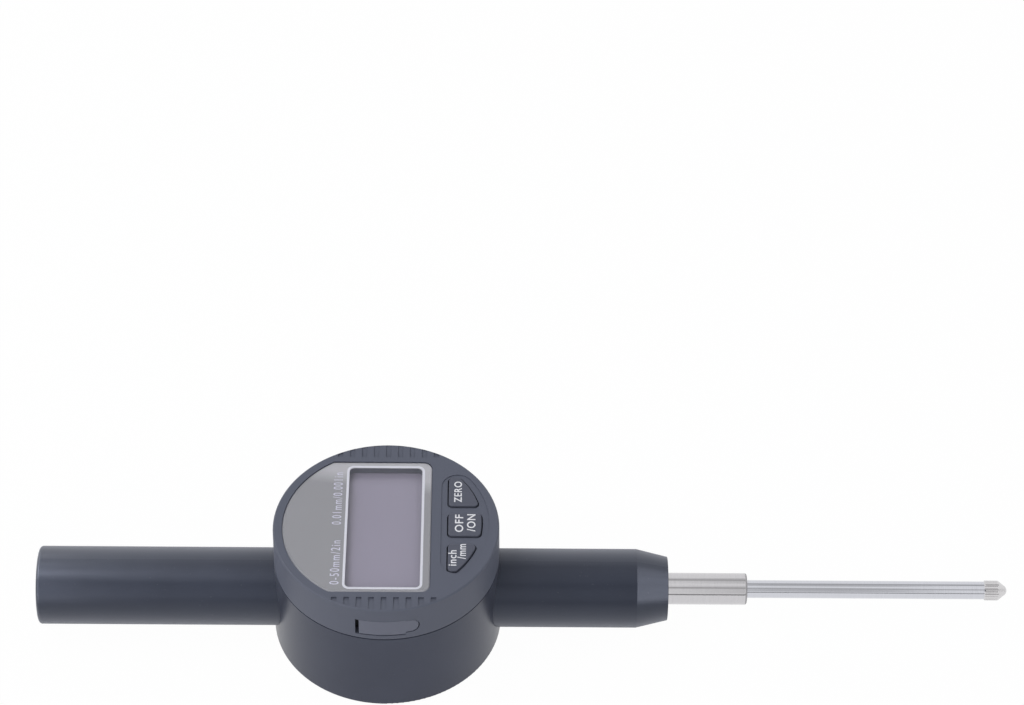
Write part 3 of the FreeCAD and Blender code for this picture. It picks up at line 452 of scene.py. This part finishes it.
cover_plastic = moulding("cover_plastic", (0.0835, 0.091, 0.1215), 5.0, 0.010, 0.50)
# the drawer's copy of the cover plastic is lighter: painted light for its front face
drawer_plastic = moulding("drawer_plastic", (0.115, 0.122, 0.159), 6.0, 0.006, 0.42)
key_plastic = moulding("key_plastic", (0.071, 0.076, 0.102), 7.0, 0.007, 0.46)
inner_plastic = moulding("inner_plastic", (0.040, 0.042, 0.048), 3.0, 0.012, 0.55)
rubber = moulding("rubber", (0.016, 0.016, 0.018), 2.2, 0.02, 0.75)
print("mouldings done")

# %% [markdown]
# ### Window, printed mask and display
# The clear window is a thin acrylic panel: it lets the print through and mirrors a little of the
# room. A mix of a transparent and a glossy shader by Fresnel's law is the simplest clear sheet,
# and it stays clean in few samples. Its cut edges are frosted, which draws the pale line round it.

# %% Clear panel
flat_limit = 0.95
frost_share = 0.45

clear = Finish("clear_panel")
pane_gloss = clear.add("Fresnel", {}, IOR=1.49)
clear_sheet = clear.add("BsdfTransparent", {}, (0.985, 0.985, 0.99, 1))
mirror = clear.add("BsdfGlossy", {}, WHITE, 0.04)
outside = 1 - clear.add("NewGeometry", {}, out="Backfacing")
pane = clear.add("MixShader", {}, pane_gloss * outside, clear_sheet, mirror)
facing_up = clear.parts(clear.add("TexCoord", {}, out="Normal"))[2]
cut_edge = facing_up.maths("ABSOLUTE").below(flat_limit) * outside
frosted = clear.add("BsdfDiffuse", {}, (0.42, 0.42, 0.46, 1))
clear.send(clear.add("MixShader", {}, cut_edge * frost_share, pane, frosted))
print("clear panel done")

# %% [markdown]
# Under the panel lies a sheet with a silver-grey print; a painted sheen makes it lighter towards
# its back edge.
# The blank display lies deeper, so its opening shades it, and a painted shade in its colour
# darkens it further under the back and left edges of the opening.

# %% Mask print
painted_sheen_start, painted_sheen_reach, painted_sheen_lean = 12.5, 4.5, 0.15

print_sheet = Finish("mask_print")
where = print_sheet.place()
flake = print_sheet.noise(where, 14.0, 1.0)
wash = print_sheet.noise(where, 0.05, 2.0)
silver = print_sheet.blend((flake - 0.5) * 0.7 + 0.5, (0.258, 0.256, 0.276, 1),
                           (0.297, 0.294, 0.318, 1))
washed = print_sheet.blend(wash * 0.4, silver, (0.290, 0.296, 0.293, 1))
across, along = print_sheet.parts(where)[:2]
# painted sheen: a highlight painted into the print's colour, lighter towards its back edge
sheen = ((along + painted_sheen_lean * across - painted_sheen_start) / painted_sheen_reach).clamped()
print_sheet.surface(
    Base_Color=print_sheet.blend(sheen, washed, (0.46, 0.455, 0.48, 1)),
    Roughness=0.42 + 0.1 * flake, Metallic=0.15, IOR=1.45,
)
print("mask print done")

# %% Display glass
view_left, painted_shade_start = -9.65, 20.5
painted_shade_reach, painted_shade_reach_left = 3.1, 1.4
painted_back_shade, painted_left_shade = 0.10, 0.08

display = Finish("lcd_glass")
where = display.place()
dots = display.noise(where, 20.0, 0.0)
drift = display.noise(where, 0.04, 1.0)
across, along = display.parts(where)[:2]
# painted shade: the display's colour darkens towards the back and left edges of its opening
from_back = ((painted_shade_start - along) / painted_shade_reach).clamped() ** 0.9
from_left = ((across - view_left) / painted_shade_reach_left).clamped()
painted_light_share = (1 - painted_back_shade + painted_back_shade * from_back) * (1 - painted_left_shade + painted_left_shade * from_left)
milk = display.blend((dots - 0.5) * 0.3 + 0.5, (0.266, 0.244, 0.316, 1),
                     (0.284, 0.260, 0.335, 1))
drifted = display.blend(drift * 0.4, milk, (0.272, 0.255, 0.318, 1))
display.surface(
    Base_Color=display.blend(painted_light_share, (0.012, 0.011, 0.013, 1), drifted),
    Roughness=0.22 + 0.04 * dots, IOR=1.5,
)
print("display done")

# %% [markdown]
# ### Steel and other metals
# The stem is ground, so its fine scratches run round it, and the spindle is lapped almost to a
# mirror. Both are metals: their colour is what they mirror, and their roughness is the finish.
# The turned end of the stem is rougher than its ground side, and a painted shade darkens its
# colour to dim its highlight.

# %% Metals
TURNED_END_SHADE = 0.62


def metal(name, colour, rough, lines, line_depth, stretch=(1, 1, 1), end_rough=0.0):
    """A metal with fine tool lines; stretch thins the pattern across the lines.

    Where end_rough is given, the faces that look along X are turned, not ground, and rougher, and
    a painted shade darkens their colour.
    """
    bar = Finish(name)
    where = bar.place(stretch)
    scratches = bar.noise(where, lines, 3.0, 0.6)
    stains = bar.noise(bar.place(), 0.12, 2.0)
    dull = tuple(c * 0.86 for c in colour)
    tone = bar.blend((scratches - 0.5) * 1.3 + 0.5, (*colour, 1), (*dull, 1))
    finish = rough + 0.10 * (scratches - 0.5) + 0.05 * stains
    if end_rough:
        facing_along = bar.parts(bar.add("TexCoord", {}, out="Normal"))[0]
        turned = ((facing_along.maths("ABSOLUTE") - 0.12) / 0.2).clamped()
        # painted shade: the turned end faces get a darker colour, which dims their highlight
        tone = bar.blend(turned, tone, (*(c * TURNED_END_SHADE for c in colour), 1))
        finish = finish + turned * end_rough
    return bar.surface(
        Base_Color=tone,
        Metallic=1.0,
        Roughness=finish,
        Normal=bar.bump(scratches, line_depth),
    )


ROUND_X = (1.0, 0.04, 0.04)
stem_steel = metal("stem_steel", (0.63, 0.62, 0.64), 0.08, 9.0, 0.0008, ROUND_X, 0.45)
spindle_steel = metal("spindle_steel", (0.66, 0.67, 0.72), 0.05, 8.0, 0.0004, ROUND_X)
tip_steel = metal("tip_steel", (0.70, 0.69, 0.70), 0.14, 5.0, 0.0012, ROUND_X)
bronze = metal("bronze", (0.62, 0.45, 0.22), 0.30, 5.0, 0.002, ROUND_X)
aluminium = metal("aluminium", (0.70, 0.70, 0.72), 0.34, 4.0, 0.003, (0.05, 1.0, 1.0))
spring_steel = metal("spring_steel", (0.62, 0.62, 0.64), 0.22, 6.0, 0.001)
cell_steel = metal("cell_steel", (0.70, 0.70, 0.71), 0.24, 6.0, 0.001)
screw_steel = metal("screw_steel", (0.36, 0.36, 0.39), 0.30, 6.0, 0.002)
print("metals done")

# %% Circuit boards and wires
solder_mask = Finish("circuit_board")
where = solder_mask.place()
tracks = solder_mask.noise(where, 0.7, 0.0).above(0.55)
copper = solder_mask.blend(tracks, (0.022, 0.10, 0.045, 1), (0.035, 0.16, 0.07, 1))
solder_mask.surface(
    Base_Color=copper, Roughness=0.32 + 0.1 * tracks,
    Normal=solder_mask.bump(tracks, 0.03), IOR=1.5,
)

wires = Finish("wire")
strand_stretch = (1, 1, 0.1)
where = wires.place(strand_stretch)
strands = wires.noise(where, 2.0, 1.0)
wires.surface(
    Base_Color=wires.blend(strands, (0.12, 0.12, 0.13, 1), (0.32, 0.30, 0.30, 1)),
    Roughness=0.5 + 0.1 * strands, Normal=wires.bump(strands, 0.03),
)
print("boards and wires done")

# %% [markdown]
# Every CAD node names the slot of its finish in the record, so one loop dresses them all. Only
# the battery drawer gets a lighter copy of the cover's plastic afterwards, painted light on its
# front.

# %% Dress the nodes
FINISHES = {
    "case_paint": case_paint, "tube_paint": tube_paint, "cover_plastic": cover_plastic,
    "key_plastic": key_plastic, "clear_panel": clear, "mask_print": print_sheet,
    "lcd_glass": display, "stem_steel": stem_steel, "spindle_steel": spindle_steel,
    "tip_steel": tip_steel, "bronze": bronze, "rubber": rubber,
    "inner_plastic": inner_plastic, "aluminium": aluminium, "circuit_board": solder_mask,
    "wire": wires, "spring_steel": spring_steel, "cell_steel": cell_steel,
    "screw_steel": screw_steel,
}
for row in frame["record"]["subparts"]:
    node = frame["nodes"][row["node"]]
    node.data.materials.clear()
    node.data.materials.append(FINISHES[row["material_slot"]].material)
# painted light: the drawer takes the lighter copy of the cover's plastic
frame["nodes"]["battery_drawer"].data.materials[0] = drawer_plastic.material

# %% [markdown]
# ## Lettering
# The key legends are pad-printed in white, and the panel carries a reading step and a range. A
# text object gives the letters their outlines. It is made a mesh, scaled to the box that the
# words fill on the real face, and laid on its surface with the thickness of a coat of ink.

# %% Inks
def printed_ink(name, low, high):
    """Pad-printed ink: slightly speckled and matt."""
    coat = Finish(name)
    speckle = coat.noise(coat.place(), 12.0, 1.0)
    return coat.surface(
        Base_Color=coat.blend(speckle, (*low, 1), (*high, 1)),
        Roughness=0.45 + 0.1 * speckle, Normal=coat.bump(speckle, 0.002),
    )


key_ink = printed_ink("white_ink", (0.66, 0.66, 0.69), (0.84, 0.84, 0.87))
panel_ink = printed_ink("panel_ink", (0.56, 0.55, 0.68), (0.70, 0.69, 0.80))
line_ink = printed_ink("line_ink", (0.64, 0.64, 0.70), (0.76, 0.76, 0.82))
print("inks done")


# %% Words as meshes
INK_THICKNESS = 0.02
CURVE_STEPS = 6


def words(name, text, box, height, body, finish, weight=0.0, spacing=1.0):
    """Printed words that fill a box of (x top, x foot, y start, y end) on the face."""
    curve = bpy.data.curves.new(name, "FONT")
    curve.body = text
    curve.offset = weight
    curve.space_character = spacing
    curve.extrude = 0.5
    curve.resolution_u = CURVE_STEPS
    draft = bpy.data.objects.new(name + "_draft", curve)
    bpy.context.scene.collection.objects.link(draft)
    bpy.context.view_layer.update()
    mesh = bpy.data.meshes.new_from_object(draft.evaluated_get(
        bpy.context.evaluated_depsgraph_get()))
    bpy.data.objects.remove(draft)
    spans = [[v.co[axis] for v in mesh.vertices] for axis in range(2)]
    left, right_edge = min(spans[0]), max(spans[0])
    foot, head = min(spans[1]), max(spans[1])
    x_top, x_foot, y_start, y_end = box
    along = (y_end - y_start) / (right_edge - left)
    across = (x_foot - x_top) / (head - foot)
    # the words read towards +Y, and the letters' heads point to -X
    lay = Matrix((
        (0, -across, 0, x_top + head * across),
        (along, 0, 0, y_start - left * along),
        (0, 0, INK_THICKNESS, height + INK_THICKNESS / 2),
        (0, 0, 0, 1),
    ))
    mesh.transform(Matrix.Scale(MM, 4) @ lay)
    mesh.materials.clear()
    mesh.materials.append(finish.material)
    mesh.name = name
    piece = bpy.data.objects.new(name, mesh)
    bpy.context.scene.collection.objects.link(piece)
    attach(piece, body)


KEY_WORDS = (
    # name, text, box in mm, key that it is printed on
    ("zero_legend", "ZERO", (16.75, 18.7, 7.8, 14.9), "zero_key"),
    ("off_legend", "OFF", (17.04, 19.14, -2.26, 3.6), "power_key"),
    ("on_legend", "/ON", (20.03, 22.16, -2.07, 3.73), "power_key"),
    ("inch_legend", "inch", (15.55, 17.58, -13.5, -8.4), "unit_key"),
    ("mm_legend", "/mm", (17.75, 19.9, -11.3, -6.35), "unit_key"),
)
key_weight, key_spacing, panel_spacing = 0.012, 1.12, 1.25
for name, text, box, body in KEY_WORDS:
    words(name, text, box, key_top, body, key_ink, key_weight, key_spacing)
PANEL_WORDS = (
    # name, text, box in mm
    ("step_legend", "0.01mm/0.001in", (-13.5, -11.2, 0.6, 18.4)),
    ("range_legend", "0-50mm/2in", (-13.4, -11.1, -19.3, -4.8)),
)
for name, text, box in PANEL_WORDS:
    words(name, text, box, print_plane, "head", panel_ink, 0.0, panel_spacing)
print("legends:", len(KEY_WORDS) + len(PANEL_WORDS))

# %% [markdown]
# ## The white line round the display
# A thin white line frames the opening in the print. A rectangle of one face, its corners rounded
# by a vertex bevel, is inset by the line's width, the middle face is deleted, and the ring that
# is left gets the ink's thickness.

# %% Frame line
line_left, line_right = -10.28, 9.32
line_half_height = 20.76
line_width = 0.62
line_corner = 1.75
corner_steps = 8

ring = bmesh.new()
corners = [ring.verts.new((x, y, 0)) for x, y in (
    (line_left, -line_half_height), (line_right, -line_half_height),
    (line_right, line_half_height), (line_left, line_half_height))]
ring.faces.new(corners)
bmesh.ops.bevel(ring, geom=ring.verts[:], offset=line_corner, offset_type="OFFSET",
                segments=corner_steps, profile=0.5, affect="VERTICES", material=-1)
sheet = ring.faces[:]
bmesh.ops.inset_region(ring, faces=sheet, thickness=line_width, use_even_offset=True,
                       use_boundary=True)
bmesh.ops.delete(ring, geom=sheet, context="FACES")
grown = bmesh.ops.extrude_face_region(ring, geom=ring.faces[:])
risen = [part for part in grown["geom"] if isinstance(part, bmesh.types.BMVert)]
bmesh.ops.translate(ring, verts=risen, vec=(0, 0, INK_THICKNESS))
bmesh.ops.translate(ring, verts=ring.verts[:], vec=(0, 0, print_plane))
bmesh.ops.scale(ring, verts=ring.verts[:], vec=(MM, MM, MM))
bmesh.ops.recalc_face_normals(ring, faces=ring.faces[:])
ring_data = bpy.data.meshes.new("frame_line")
ring.to_mesh(ring_data)
ring.free()
ring_data.materials.append(line_ink.material)
frame_line = bpy.data.objects.new("frame_line", ring_data)
bpy.context.scene.collection.objects.link(frame_line)
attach(frame_line, "head")
print("frame line faces:", len(ring_data.polygons))

# %% [markdown]
# ## Last settings
# The view transform is Standard, so that a colour shows as it is written.

# %% View transform
bpy.context.scene.view_settings.view_transform = "Standard"
